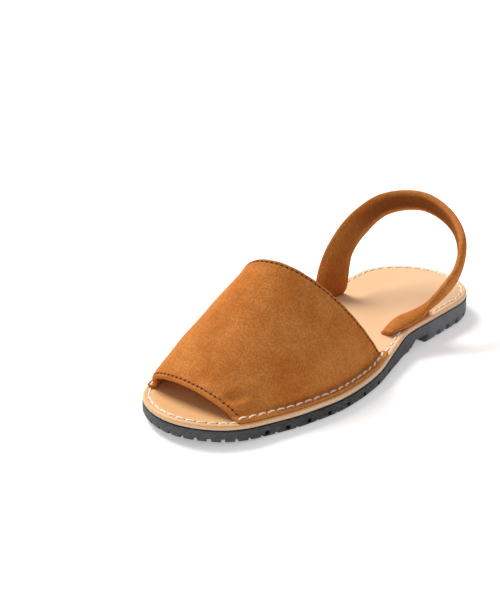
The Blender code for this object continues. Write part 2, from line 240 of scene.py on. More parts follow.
def sole_stations():
    """Stations from toe to heel, close together at both ends, with two at the heel breast."""
    even = 0.5 - 0.5 * np.cos(np.linspace(0, math.pi, 181))
    breast = np.array([HEEL_BREAST - BREAST_SLOPE, HEEL_BREAST]) / SOLE_LENGTH
    away = even[np.min(abs(even[:, None] - breast[None]), axis=1) > 0.5 * BREAST_SLOPE / SOLE_LENGTH]
    return np.sort(np.concatenate([away, breast]))


STATIONS = sole_stations()
ALONG = (STATIONS - 0.5) * SOLE_LENGTH


def full_outline():
    """The sole's outline: toe tip, lateral side, heel tip, medial side back to the toe."""
    rounded = end_rounding(STATIONS)
    lateral = follow(OUTLINE, lambda row: row[2] * row[3], STATIONS) * rounded
    medial = follow(OUTLINE, lambda row: row[1] * row[3], STATIONS) * rounded
    middle = 0.5 * (lateral.max() - medial.max())
    right = np.column_stack([lateral, ALONG])
    left = np.column_stack([-medial, ALONG])[-2:0:-1]
    return np.concatenate([right, left]) - np.array([middle, 0.0])


def run_along(points):
    """Distance of each point along a line of points."""
    return np.concatenate([[0], np.cumsum(np.linalg.norm(np.diff(points, axis=0), axis=1))])


FULL_OUTLINE = full_outline()
CLOSED_OUTLINE = np.vstack([FULL_OUTLINE, FULL_OUTLINE[:1]])
OUTLINE_RUN = run_along(CLOSED_OUTLINE)


def inset_outline(inset):
    """The outline moved inwards by one distance all round, or by one for each point."""
    chord = np.roll(FULL_OUTLINE, -1, axis=0) - np.roll(FULL_OUTLINE, 1, axis=0)
    outward = np.column_stack([chord[:, 1], -chord[:, 0]])
    outward /= np.linalg.norm(outward, axis=1)[:, None]
    return FULL_OUTLINE - np.reshape(inset, (-1, 1)) * outward


def edge_x(side, along, inset):
    """Across place of the lateral (1) or medial (-1) edge, moved inwards."""
    ring = inset_outline(inset)
    heel = len(STATIONS) - 1
    part = ring[:heel + 1] if side > 0 else np.concatenate([ring[heel:], ring[:1]])[::-1]
    return np.interp(along, part[:, 1], part[:, 0])


def station_of(along):
    return along / SOLE_LENGTH + 0.5


def outsole_top(station):
    climb = follow(SIDE_LINE, lambda row: row[2], station)
    lift = TOE_SPRING * follow(SIDE_LINE, lambda row: row[1], station)
    return lift + FOREFOOT_THICKNESS + climb * (HEEL_THICKNESS - FOREFOOT_THICKNESS)


def outsole_bottom(station):
    lift = TOE_SPRING * follow(SIDE_LINE, lambda row: row[1], station)
    arch = ARCH_HEIGHT * follow(SIDE_LINE, lambda row: row[3], station)
    return lift + np.where(station < HEEL_BREAST / SOLE_LENGTH - 1e-6, arch, 0.0)


def insole_top(station):
    return outsole_top(station) + CLEARANCE + INSOLE_THICKNESS


def bell(distance):
    """A soft bump of height 1 that ends at distance 1."""
    return np.where(abs(distance) < 1, (1 - np.clip(distance, -1, 1) ** 2) ** 2, 0.0)


def placed(name, data):
    """A new object in the scene, at the origin."""
    thing = bpy.data.objects.new(name, data)
    bpy.context.scene.collection.objects.link(thing)
    return thing


def finished(shape, name, materials, smooth_angle=None):
    """Turns a bmesh into a piece at the origin, with its faces outwards and shaded smooth."""
    bmesh.ops.recalc_face_normals(shape, faces=shape.faces)
    mesh = bpy.data.meshes.new(name)
    shape.to_mesh(mesh)
    shape.free()
    for material in materials:
        mesh.materials.append(material)
    mesh.shade_smooth()
    if smooth_angle:
        mesh.set_sharp_from_angle(angle=math.radians(smooth_angle))
    return placed(name, mesh)


def add_rows(shape, rows, closed):
    """Bridges rows of points in turn; a closed row joins its last point to its first."""
    made = [[shape.verts.new(Vector(map(float, point))) for point in row] for row in rows]
    for low, high in zip(made, made[1:]):
        count = len(low)
        for i in range(count if closed else count - 1):
            j = (i + 1) % count
            shape.faces.new((low[i], low[j], high[j], high[i]))
    return made


# Materials


def linear(code):
    """A colour from its sRGB hex value."""
    parts = [int(code[k:k + 2], 16) / 255 for k in (1, 3, 5)]
    return (*[p / 12.92 if p <= 0.04045 else ((p + 0.055) / 1.055) ** 2.4 for p in parts], 1.0)


def per_metre(size):
    """Pattern scale for features of this size."""
    return 1.0 / size


def add_node(tree, kind, settings=None, values=None, links=None):
    """Adds a node with its settings, input values and the sockets that feed it."""
    node = tree.nodes.new(kind)
    for name, value in (settings or {}).items():
        setattr(node, name, value)
    for name, value in (values or {}).items():
        node.inputs[name].default_value = value
    for name, socket in (links or {}).items():
        tree.links.new(socket, node.inputs[name])
    return node


def new_material(name):
    material = bpy.data.materials.new(name)
    material.use_nodes = True
    tree = material.node_tree
    place = add_node(tree, "ShaderNodeTexCoord").outputs["Object"]
    return material, tree, tree.nodes["Principled BSDF"], place


def blended(tree, factor, first, second):
    """Mixes two colours by a factor socket; each is a hex value or a socket."""
    values, links = {}, {"Factor": factor}
    for socket, colour in (("A", first), ("B", second)):
        if isinstance(colour, str):
            values[socket] = linear(colour)
        else:
            links[socket] = colour
    node = tree.nodes.new("ShaderNodeMix")
    node.data_type = "RGBA"
    for name, value in values.items():
        [s for s in node.inputs if s.name == name and s.type == "RGBA"][0].default_value = value
    for name, socket in links.items():
        kind = "VALUE" if name == "Factor" else "RGBA"
        tree.links.new(socket, [s for s in node.inputs if s.name == name and s.type == kind][0])
    return [s for s in node.outputs if s.type == "RGBA"][0]


def noise(tree, vector, size, detail=3.0, roughness=0.5):
    node = add_node(tree, "ShaderNodeTexNoise",
                    values={"Scale": per_metre(size), "Detail": detail, "Roughness": roughness},
                    links={"Vector": vector})
    return node.outputs["Fac"]


def ranged(tree, value, low, high, to_low=0.0, to_high=1.0):
    node = add_node(tree, "ShaderNodeMapRange", {"interpolation_type": "SMOOTHSTEP"},
                    {"From Min": low, "From Max": high, "To Min": to_low, "To Max": to_high},
                    {"Value": value})
    return node.outputs["Result"]


def add_bump(tree, shader, height, distance, strength=1.0, below=None):
    links = {"Height": height}
    if below:
        links["Normal"] = below
    node = add_node(tree, "ShaderNodeBump", None, {"Strength": strength, "Distance": distance}, links)
    tree.links.new(node.outputs["Normal"], shader.inputs["Normal"])
    return node.outputs["Normal"]


def split_suede(name, middle, light, dark, trough=0.0):
    """Suede split: a short brushed nap in soft patches, dull, with a faint halo, and painted shade in a
    trough.
    """
    material, tree, shader, place = new_material(name)
    patches = ranged(tree, noise(tree, place, 22 * MM, 3.0), 0.30, 0.70)
    clouds = ranged(tree, noise(tree, place, 5 * MM, 4.0, 0.6), 0.30, 0.72)
    fibres = ranged(tree, noise(tree, place, 0.9 * MM, 2.0, 0.6), 0.28, 0.72)
    base = blended(tree, patches, middle, light)
    base = blended(tree, ranged(tree, clouds, 0.0, 1.0, 0.0, 0.16), base, dark)
    base = blended(tree, ranged(tree, fibres, 0.0, 1.0, 0.0, 0.42), base, dark)
    # painted shade on the strap's inner face, read from the trough attribute
    if trough:
        inside = add_node(tree, "ShaderNodeAttribute", {"attribute_name": "trough"}).outputs["Fac"]
        base = blended(tree, ranged(tree, inside, 0.0, 1.0, 0.0, trough), base, dark)
    tree.links.new(base, shader.inputs["Base Color"])
    shader.inputs["Roughness"].default_value = 0.95
    shader.inputs["Specular IOR Level"].default_value = 0.15
    shader.inputs["Sheen Weight"].default_value = 0.20
    shader.inputs["Sheen Roughness"].default_value = 0.6
    shader.inputs["Sheen Tint"].default_value = linear("#E39C55")
    nap = add_bump(tree, shader, noise(tree, place, 0.7 * MM, 3.0, 0.6), 0.10 * MM, 0.7)
    add_bump(tree, shader, noise(tree, place, 4 * MM, 2.0), 0.25 * MM, 0.6, nap)
    return material


def vegetable_tanned_leather():
    """Vegetable-tanned leather, smooth and rolled: fine pores, a satin gloss, and painted shade with painted
    bounce light from the suede, browner at the toe.
    """
    material, tree, shader, place = new_material("vegetable_tanned_leather")
    split = add_node(tree, "ShaderNodeSeparateXYZ", links={"Vector": place})
    # painted shade and painted bounce light from the suede, growing towards the toe; the leather itself is
    # the same there
    toe = ranged(tree, split.outputs["Y"], -0.060, -0.105)
    clouds = ranged(tree, noise(tree, place, 30 * MM, 4.0, 0.55), 0.3, 0.7)
    base = blended(tree, clouds, "#F5CAA0", "#EFC192")
    base = blended(tree, ranged(tree, toe, 0.0, 1.0, 0.0, 0.60), base, "#DDA45C")
    specks = ranged(tree, noise(tree, place, 1.2 * MM, 3.0, 0.6), 0.55, 0.78, 0.0, 0.16)
    tree.links.new(blended(tree, specks, base, "#C98F57"), shader.inputs["Base Color"])
    tree.links.new(ranged(tree, clouds, 0.0, 1.0, 0.42, 0.52), shader.inputs["Roughness"])
    shader.inputs["Coat Weight"].default_value = 0.10
    shader.inputs["Coat Roughness"].default_value = 0.68
    pores = add_node(tree, "ShaderNodeTexVoronoi", None, {"Scale": per_metre(0.9 * MM)}, {"Vector": place})
    add_bump(tree, shader, pores.outputs["Distance"], 0.03 * MM, 0.6)
    return material


def leather_cut_edge():
    """The insole's cut edge: pale fibres, pressed and buffed, with faint layers along the edge."""
    material, tree, shader, place = new_material("leather_cut_edge")
    stretch = add_node(tree, "ShaderNodeMapping", None, {"Scale": (0.25, 0.25, 1.0)}, {"Vector": place})
    layers = ranged(tree, noise(tree, stretch.outputs["Vector"], 0.6 * MM, 3.0, 0.6), 0.3, 0.7)
    tree.links.new(blended(tree, layers, "#D0AC90", "#E2C2A8"), shader.inputs["Base Color"])
    shader.inputs["Roughness"].default_value = 0.75
    add_bump(tree, shader, layers, 0.06 * MM, 0.6)
    return material


def moulded_rubber():
    """Moulded rubber, matt and slightly grainy: greyer at heel and toe, with painted shade, near black, in
    the recess before the heel.
    """
    material, tree, shader, place = new_material("moulded_rubber")
    stretch = add_node(tree, "ShaderNodeMapping", None, {"Scale": (0.35, 0.35, 1.0)}, {"Vector": place})
    streaks = ranged(tree, noise(tree, stretch.outputs["Vector"], 1.0 * MM, 4.0, 0.65), 0.35, 0.75)
    clouds = ranged(tree, noise(tree, place, 14 * MM, 3.0), 0.3, 0.7, 0.0, 0.6)
    split = add_node(tree, "ShaderNodeSeparateXYZ", links={"Vector": place}).outputs
    along, height = split["Y"], split["Z"]
    base = blended(tree, clouds, "#1C1D1F", "#2E2F31")
    # lighter grey towards the heel, and less so towards the toe
    lighter_grey = blended(tree, clouds, "#53555A", "#707378")
    base = blended(tree, ranged(tree, along, 0.015, 0.075), base, lighter_grey)
    base = blended(tree, ranged(tree, along, -0.075, -0.115, 0.0, 0.5), base, "#4A4B4E")
    base = blended(tree, ranged(tree, streaks, 0.0, 1.0, 0.0, 0.40), base, "#67686A")
    # painted shade: near black in the recess before the heel, where there is only shade
    painted_shade = ranged(tree, along, *PAINTED_SHADE_FRONT)
    for limit in (ranged(tree, along, *PAINTED_SHADE_BACK), ranged(tree, height, *PAINTED_SHADE_TOP)):
        painted_shade = add_node(tree, "ShaderNodeMath", {"operation": "MULTIPLY"},
                          links={0: painted_shade, 1: limit}).outputs[0]
    base = blended(tree, painted_shade, base, "#0B0B0C")
    tree.links.new(base, shader.inputs["Base Color"])
    shader.inputs["Roughness"].default_value = 0.62
    shader.inputs["Specular IOR Level"].default_value = 0.45
    grain = add_bump(tree, shader, noise(tree, place, 0.8 * MM, 3.0, 0.6), 0.10 * MM, 0.6)
    add_bump(tree, shader, streaks, 0.12 * MM, 0.5, grain)
    return material


def waxed_thread(name, pale, deep):
    """Waxed thread of two twisted plies, with a dull shine."""
    material, tree, shader, place = new_material(name)
    plies = ranged(tree, noise(tree, place, 0.8 * MM, 2.0), 0.35, 0.65)
    tree.links.new(blended(tree, plies, pale, deep), shader.inputs["Base Color"])
    shader.inputs["Roughness"].default_value = 0.55
    add_bump(tree, shader, plies, 0.10 * MM, 0.7)
    return material


def awl_hole(name, rim, pit):
    """Shade inside a hole pricked through leather."""
    material, tree, shader, place = new_material(name)
    depth = ranged(tree, noise(tree, place, 0.6 * MM, 2.0), 0.35, 0.65)
    tree.links.new(blended(tree, depth, pit, rim), shader.inputs["Base Color"])
    shader.inputs["Roughness"].default_value = 0.95
    shader.inputs["Specular IOR Level"].default_value = 0.1
    return material


suede = split_suede("split_suede", "#CA7833", "#D98D47", "#823B10")
# the strap's copy mixes painted shade into the inner face of its trough
strap_suede = split_suede("split_suede_strap", "#C27230", "#D08442", "#6E3812", 0.85)
insole_skin = vegetable_tanned_leather()
cut_edge = leather_cut_edge()
rubber = moulded_rubber()
pale_thread = waxed_thread("waxed_linen_thread", "#FFFCF6", "#F6E9D8")
brown_thread = waxed_thread("waxed_brown_thread", "#8E5222", "#6F3D18")
leather_hole = awl_hole("awl_hole_in_leather", "#8A5E3A", "#4A2E1C")
suede_hole = awl_hole("awl_hole_in_suede", "#5E3216", "#3A1C0B")


# Outsole


def edge_place(distance):
    """A point on the outline at a distance along it from the toe tip, and the outline's direction."""
    at = np.array([distance, distance + 0.5 * MM]) % OUTLINE_RUN[-1]
    here, ahead = np.array([[np.interp(d, OUTLINE_RUN, CLOSED_OUTLINE[:, k]) for k in (0, 1)]
                            for d in at])
    return here, math.atan2(*(ahead - here)[::-1])


def edge_station(distance):
    return station_of(edge_place(distance)[0][1])


def bottom_at(station):
    return float(outsole_bottom(np.array([station]))[0])


def add_cut(shape, centre, turn, base, top, wide_low, wide_high, reach):
    """A wedge that cuts into the edge: along the edge it is wide_low below and wide_high above."""
    corners = []
    for height, wide in ((base, wide_low), (top, wide_high)):
        for along, across in ((-1, -1), (1, -1), (1, 1), (-1, 1)):
            x, y = along * wide / 2, across * reach
            corners.append(shape.verts.new((centre[0] + math.cos(turn) * x - math.sin(turn) * y,
                                            centre[1] + math.sin(turn) * x + math.cos(turn) * y, height)))
    for face in ((0, 3, 2, 1), (4, 5, 6, 7), (0, 1, 5, 4), (1, 2, 6, 5), (2, 3, 7, 6), (3, 0, 4, 7)):
        shape.faces.new([corners[k] for k in face])


def wedge_at(shape, distance, base, sizes):
    """A wedge in the edge, at a distance along the outline and over a base height."""
    low, high, wide_low, wide_high, reach = sizes
    point, turn = edge_place(distance)
    add_cut(shape, point, turn, base + low, base + high, wide_low, wide_high, reach)


def tread_cuts():
    """Everything that is cut out of the sole: cross grooves, toe, side and heel notches, side recesses."""
    shape = bmesh.new()
    forefoot = np.arange(FIRST_GROOVE / SOLE_LENGTH, (HEEL_BREAST - TREAD_MARGIN) / SOLE_LENGTH,
                         FOREFOOT_PITCH / SOLE_LENGTH)
    heel = np.arange((HEEL_BREAST + HEEL_PITCH) / SOLE_LENGTH, 1 - LAST_GROOVE / SOLE_LENGTH,
                     HEEL_PITCH / SOLE_LENGTH)
    for station in [*forefoot, *heel]:
        along = (station - 0.5) * SOLE_LENGTH
        base = bottom_at(station)
        margin = GROOVE_END if station < FOREFOOT_END else -OVERRUN
        left, right = float(edge_x(-1, along, margin)), float(edge_x(1, along, margin))
        add_cut(shape, ((left + right) / 2, along), 0.0, base - OVERRUN, base + GROOVE_DEPTH,
                right - left, right - left, GROOVE_WIDTH / 2)
    for k in range(-7, 8):
        at = k * TOE_PITCH + 2 * MM
        wedge_at(shape, at, bottom_at(edge_station(at)), TOE_NOTCH)
    for side in (1, -1):
        for k in range(11):
            distance = FIRST_SIDE_CUT + k * SIDE_PITCH * (0.9 + 0.02 * k)
            at = distance if side > 0 else OUTLINE_RUN[-1] - distance
            if edge_station(at) < SIDE_CUTS_END:
                base = bottom_at(edge_station(at))
                wedge_at(shape, at, base, SIDE_RECESS)
                wedge_at(shape, at + SIDE_NOTCH_SHIFT[side], base, SIDE_NOTCH)
    heel_tip = OUTLINE_RUN[len(STATIONS) - 1]
    for k in range(-9, 10):
        at = heel_tip + (k + 0.5) * HEEL_PITCH
        if edge_station(at) > HEEL_BREAST / SOLE_LENGTH + 0.02:
            wedge_at(shape, at, 0.0, HEEL_NOTCH)
    return finished(shape, "tread_cuts", [])


def fill_across(shape, ring, columns):
    """Closes a ring of outline points by strips between its lateral and medial points."""
    count, before = len(FULL_OUTLINE), None
    for i in range(len(STATIONS)):
        lateral, medial = ring[i], ring[(count - i) % count]
        if lateral is medial:
            strip = [lateral] * (columns + 1)
        else:
            between = [shape.verts.new(lateral.co.lerp(medial.co, k / columns)) for k in range(1, columns)]
            strip = [lateral, *between, medial]
        if before:
            for k in range(columns):
                corners = list(dict.fromkeys((before[k], strip[k], strip[k + 1], before[k + 1])))
                if len(corners) > 2:
                    shape.faces.new(corners)
        before = strip


def make_outsole():
    """The rubber sole: upright side, rounded lower edge, heel block, arch, and the cuts of the tread."""
    rows = []
    station = station_of(FULL_OUTLINE[:, 1])
    rounder = np.where(station > HEEL_BREAST / SOLE_LENGTH - 1e-6, HEEL_EDGE, 1.0)
    for inset, height in EDGE_BELOW:
        rows.append(np.column_stack([inset_outline(inset * rounder),
                                     outsole_bottom(station) + height * rounder]))
    for inset, depth in EDGE_ABOVE:
        ring = inset_outline(inset)
        rows.append(np.column_stack([ring, outsole_top(station_of(ring[:, 1])) - depth]))
    shape = bmesh.new()
    made = add_rows(shape, rows, closed=True)
    fill_across(shape, made[-1], 6)
    fill_across(shape, made[0], 6)
    piece = finished(shape, "outsole_rubber", [rubber])
    tool = tread_cuts()
    cut = piece.modifiers.new("tread", "BOOLEAN")
    cut.operation = "DIFFERENCE"
    cut.solver = "EXACT"
    cut.object = tool
    cut.use_self = True
    graph = bpy.context.evaluated_depsgraph_get()
    mesh = bpy.data.meshes.new_from_object(piece.evaluated_get(graph), depsgraph=graph)
    piece.modifiers.remove(cut)
    bpy.data.objects.remove(tool)
    piece.data = mesh
    mesh.name = "outsole_rubber"
    mesh.materials.clear()
    mesh.materials.append(rubber)
    mesh.shade_smooth()
    mesh.set_sharp_from_angle(angle=math.radians(35))
    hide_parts("outsole")
    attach(piece, "root")


# Insole


def make_insole():
    """The insole board: cut edge, rounded upper edge, and the channel that the stitches lie in."""
    half = CHANNEL_WIDTH / 2
    profile = [(INSOLE_INSET + 0.9 * MM, -INSOLE_THICKNESS), (INSOLE_INSET + 0.8 * MM, -2.6 * MM),
               (INSOLE_INSET, -2.45 * MM), (INSOLE_INSET, -1.5 * MM)]
    for degrees in (20, 40, 60, 80, 90):
        angle = math.radians(degrees)
        profile.append((INSOLE_INSET + 1.2 * MM * (1 - math.cos(angle)), -1.3 * MM * (1 - math.sin(angle))))
    for share in (-1.6, -1.0, -0.5, 0.0, 0.5, 1.0, 1.6):
        profile.append((STITCH_INSET + share * half, -CHANNEL_DEPTH * float(bell(np.array(share / 1.6)))))
    profile += [(6.5 * MM, 0.0), (9.0 * MM, 0.0)]
    shape = bmesh.new()
    rows = []
    for inset, height in profile:
        ring = inset_outline(inset)
        rows.append(np.column_stack([ring, insole_top(station_of(ring[:, 1])) + height]))
    made = add_rows(shape, rows, closed=True)
    shape.faces.ensure_lookup_table()
    for face in shape.faces[:len(FULL_OUTLINE) * 3]:
        face.material_index = 1
    fill_across(shape, made[-1], 12)
    fill_across(shape, made[0], 4)
    piece = finished(shape, "insole_leather", [insole_skin, cut_edge])
    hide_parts("insole")
    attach(piece, "root")


# Upper


def upper_surface(share, turn):
    """Points of the upper's outer face: share from front to back edge, turn from lateral to medial."""
    front, back = UPPER_EDGES
    value = [f + (b - f) * share for f, b in zip(front, back)]
    lateral, medial = (value[0] - 0.5) * SOLE_LENGTH, (value[1] - 0.5) * SOLE_LENGTH
    x_lateral = edge_x(1, lateral, WALL_FOOT)
    x_medial = edge_x(-1, medial, WALL_FOOT)
    power = 2 / np.where(turn < math.pi / 2, value[5], value[6])
    c, s = np.cos(turn), np.sin(turn)
    across = 0.5 + 0.5 * np.sign(c) * abs(c) ** power
    up = np.clip(s, 0, 1) ** power
    rise = value[2] + UPPER_BULGE * 4 * share * (1 - share) - CLEARANCE - SUEDE
    x = x_medial + (x_lateral - x_medial) * across - value[4] * BALL_WIDTH * up
    y = medial + (lateral - medial) * across - value[3] * SOLE_LENGTH * up
    z = insole_top(station_of(medial + (lateral - medial) * across)) + CLEARANCE + SUEDE + rise * up
    return np.stack([x, y, z], axis=-1)


def flange_row(side, share, insets):
    """The stitched-down margin at one side, from its outer edge to the fold, at its upper face."""
    front, back = UPPER_EDGES
    column = 0 if side > 0 else 1
    start = (front[column] - 0.5) * SOLE_LENGTH
    end = (back[column] - 0.5) * SOLE_LENGTH
    points = []
    for inset in insets:
        reach = 0.4 + 0.6 * np.clip((WALL_FOOT - inset) / (WALL_FOOT - FLANGE_EDGE), 0, 1)
        round_off = 1 - 0.55 * np.clip((FLANGE_EDGE + 2.0 * MM - inset) / (2.0 * MM), 0, 1) ** 2
        along = start + (end + FLANGE_TAB * reach * round_off - start) * share
        height = float(insole_top(np.array([station_of(along)]))[0]) + CLEARANCE + SUEDE
        points.append((float(edge_x(side, along, inset)), along, height))
    return np.array(points)


ARCH_STEPS = 150
FLANGE_STEPS = 12
SAMPLE = 0.15 * MM
RIM = (0.0, 0.134, 0.5, 1.0)


def upper_row(share):
    """One row of the upper's outer face, flange to flange, with its folds rounded."""
    rim = [FLANGE_EDGE + r * SUEDE / 2 for r in RIM]
    insets = np.concatenate([rim, np.linspace(rim[-1], WALL_FOOT, FLANGE_STEPS)[1:-1]])
    lateral, medial = flange_row(1, share, insets), flange_row(-1, share, insets)
    turn = np.linspace(0, math.pi, ARCH_STEPS)
    wall = upper_surface(share, turn)
    points = np.concatenate([lateral, wall, medial[::-1]])
    run = run_along(points)
    even = np.linspace(run[3], run[-4], int(ARCH_STEPS * 1.2))
    at = np.concatenate([run[:3], even, run[-3:]])
    dense = np.arange(0, run[-1], SAMPLE)
    smooth = np.array([np.interp(dense, run, points[:, k]) for k in range(3)]).T
    width = int(round(3 * FOLD_RADIUS / SAMPLE))
    weight = np.exp(-0.5 * (np.arange(-width, width + 1) * SAMPLE / FOLD_RADIUS) ** 2)
    weight /= weight.sum()
    padded = np.pad(smooth, ((width, width), (0, 0)), mode="reflect", reflect_type="odd")
    soft = np.array([np.convolve(padded[:, k], weight, mode="valid") for k in range(3)]).T
    return np.array([np.interp(at, dense, soft[:, k]) for k in range(3)]).T


def upper_shares():
    """Shares from front to back edge: close together at the rims and the hems."""
    run = SOLE_LENGTH * 0.5 * sum(UPPER_EDGES[1][k] - UPPER_EDGES[0][k] for k in (0, 1))
    thick = (SUEDE + HEM_EXTRA) / 2
    rim = np.array([r * thick for r in RIM]) / run
    inside = np.linspace(rim[-1], 1 - rim[-1], 112)
    return np.concatenate([rim[:-1], inside, 1 - rim[:-1][::-1]]), run


def upper_grid():
    """Outer face of the upper as a grid, with its normals and wall thickness."""
    shares, run = upper_shares()
    grid = np.array([upper_row(share) for share in shares])
    along = np.gradient(grid, axis=0)
    around = np.gradient(grid, axis=1)
    normal = np.cross(along, around)
    normal /= np.linalg.norm(normal, axis=2)[:, :, None]
    if normal[len(shares) // 2, grid.shape[1] // 2, 2] < 0:
        normal = -normal
    from_front, from_back = shares * run, (1 - shares) * run
    hem = np.maximum(np.clip((HEM_WIDTH - from_front) / (0.8 * MM), 0, 1),
                     np.clip((HEM_WIDTH - from_back) / (0.8 * MM), 0, 1))
    around_run = np.concatenate([np.zeros((len(shares), 1)),
                                 np.cumsum(np.linalg.norm(np.diff(grid, axis=1), axis=2), axis=1)], axis=1)
    length = around_run[:, -1:]
    to_side = np.minimum(around_run, length - around_run)
    on_wall = np.clip((to_side - 7 * MM) / (6 * MM), 0, 1)
    thick = SUEDE + HEM_EXTRA * hem[:, None] * np.clip((to_side - 4 * MM) / (2 * MM), 0, 1)
    relief = np.zeros(grid.shape[:2])
    turn = 180 * (around_run - 6 * MM) / (length - 12 * MM)
    for share, angle, long, wide, height in SOFT_SHAPES:
        relief += height * bell((shares[:, None] - share) / long) * bell((turn - angle) / wide)
    for distance, line in ((from_front, FRONT_HEM_LINE), (from_back, BACK_HEM_LINE)):
        relief += 0.08 * MM * bell((distance[:, None] - line * 0.45) / (line * 0.5))
        relief -= 0.22 * MM * bell((distance[:, None] - line) / (0.9 * MM))
        relief += 0.20 * MM * bell((distance[:, None] - line * 1.6) / (line * 0.6))
        ripple = 0.5 + 0.5 * np.cos(around_run * 2 * math.pi / (11 * MM) + 1.0 + shares[:, None] * 9)
        relief += 0.22 * MM * bell(distance[:, None] / (9 * MM)) * ripple
    relief *= on_wall
    across = STITCH_INSET - FLANGE_EDGE
    pull = 0.5 + 0.5 * np.cos(2 * math.pi * grid[:, :, 1] / STITCH_PITCH)
    relief -= 0.45 * MM * bell((to_side - 1.4 * MM) / (0.6 * MM))
    relief -= (0.16 + 0.20 * pull) * MM * bell((to_side - across) / (1.3 * MM))
    return grid, normal, thick, relief, to_side, from_front, from_back


def make_upper():
    """One closed wall of suede, its edges rounded, open at the toe and at the instep."""
    grid, normal, thick, relief, to_side, from_front, from_back = upper_grid()
    rim = np.minimum(to_side, np.minimum(from_front, from_back)[:, None])
    radius = thick / 2
    share = np.clip(rim / radius, 0, 1)
    shrink = radius * (1 - np.sqrt(np.clip(1 - (1 - share) ** 2, 0, 1)))
    outer = grid + normal * (relief - shrink)[:, :, None]
    outer[:, 0] += 0.7 * (outer[:, 3] - outer[:, 0])
    outer[:, -1] += 0.7 * (outer[:, -4] - outer[:, -1])
    inner = grid - normal * (thick - shrink - 0.6 * relief * (thick > SUEDE))[:, :, None]
    shape = bmesh.new()
    rows, columns = grid.shape[:2]
    top = [[shape.verts.new(Vector(map(float, outer[i, j]))) for j in range(columns)] for i in range(rows)]
    low = []
    for i in range(rows):
        row = []
        for j in range(columns):
            edge = i in (0, rows - 1) or j in (0, columns - 1)
            row.append(top[i][j] if edge else shape.verts.new(Vector(map(float, inner[i, j]))))
        low.append(row)
    for i in range(rows - 1):
        for j in range(columns - 1):
            shape.faces.new((top[i][j], top[i][j + 1], top[i + 1][j + 1], top[i + 1][j]))
            shape.faces.new((low[i][j], low[i + 1][j], low[i + 1][j + 1], low[i][j + 1]))
    piece = finished(shape, "upper_suede", [suede])
    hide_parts("upper")
    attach(piece, "root")
    return outer, normal, from_front, from_back, to_side


# Heel strap


def strap_frame(count):
    """The strap's line: middle points, across directions, face directions, width and thickness."""
    table = np.array(STRAP_LINE)
    base = insole_top(table[:, 1] + 0.5)
    points = np.column_stack([table[:, 0] * HEEL_WIDTH, table[:, 1] * SOLE_LENGTH,
                              base + table[:, 2] * STRAP_RISE])
    run = run_along(points)
    rows = [(run[k] / run[-1], *points[k], *table[k, 3:]) for k in range(len(table))]
    at = np.linspace(0, 1, count)
    line = np.column_stack([follow(rows, lambda row, c=c: row[c], at, level=False) for c in range(1, 7)])
    middle = line[:, :3]
    tangent = np.gradient(middle, axis=0)
    tangent /= np.linalg.norm(tangent, axis=1)[:, None]
    outward = np.cross(tangent, (0.0, 0.0, 1.0))
    outward /= np.linalg.norm(outward, axis=1)[:, None]
    upright = np.cross(outward, tangent)
    flare = np.radians(line[:, 5])[:, None]
    across = np.cos(flare) * upright + np.sin(flare) * outward
    face = np.cross(tangent, across)
    return middle, across, face, line[:, 3] * STRAP_WIDTH, line[:, 4] * STRAP_THICKNESS


def make_heel_strap():
    """A band of suede folded round on itself: a plump outside and a shallow trough inside."""
    count, sides = 230, 44
    middle, across, face, width, thickness = strap_frame(count)
    angle = 2 * math.pi * (np.arange(sides) + 0.5) / sides
    c, s = np.cos(angle), np.sin(angle)
    u = np.sign(c) * abs(c) ** 0.90
    v = np.sign(s) * abs(s) ** 0.95
    rows, shade = [], []
    for k in range(count):
        place = k / (count - 1)
        opened = float(np.clip((place - 0.12) / 0.15, 0, 1))
        # painted shade on the inner face, strongest near the top of the arch and weaker towards the medial
        # foot
        lighter = 1 - 0.6 * float(np.clip((place - 0.62) / 0.16, 0, 1))
        shade.append(opened * lighter * np.where(v < 0, np.clip(1.25 - (u / 0.72) ** 2, 0, 1), 0.0))
        trough = TROUGH_DEPTH * opened * np.clip(1 - (u / TROUGH_HALF) ** 2, 0, 1)
        inner = np.where(v < 0, v * (1 - trough), v)
        ring = (middle[k] + np.outer(u * width[k] / 2, across[k])
                + np.outer(inner * thickness[k] / 2, face[k]))
        seat = insole_top(station_of(ring[:, 1])) + 0.15 * MM
        ring[:, 2] = np.maximum(ring[:, 2], seat)
        rows.append(ring)
    shape = bmesh.new()
    made = add_rows(shape, rows, closed=True)
    for ring in (made[0], made[-1]):
        shape.faces.new(ring)
    bmesh.ops.triangulate(shape, faces=[f for f in shape.faces if len(f.verts) > 4])
    piece = finished(shape, "heel_strap_suede", [strap_suede])
    # the trough attribute holds the painted shade of the inner face, for the strap's material
    inside = piece.data.attributes.new("trough", "FLOAT", "POINT")
    inside.data.foreach_set("value", np.array(shade, dtype=np.float32).ravel())
    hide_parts("heel_strap")
    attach(piece, "root")


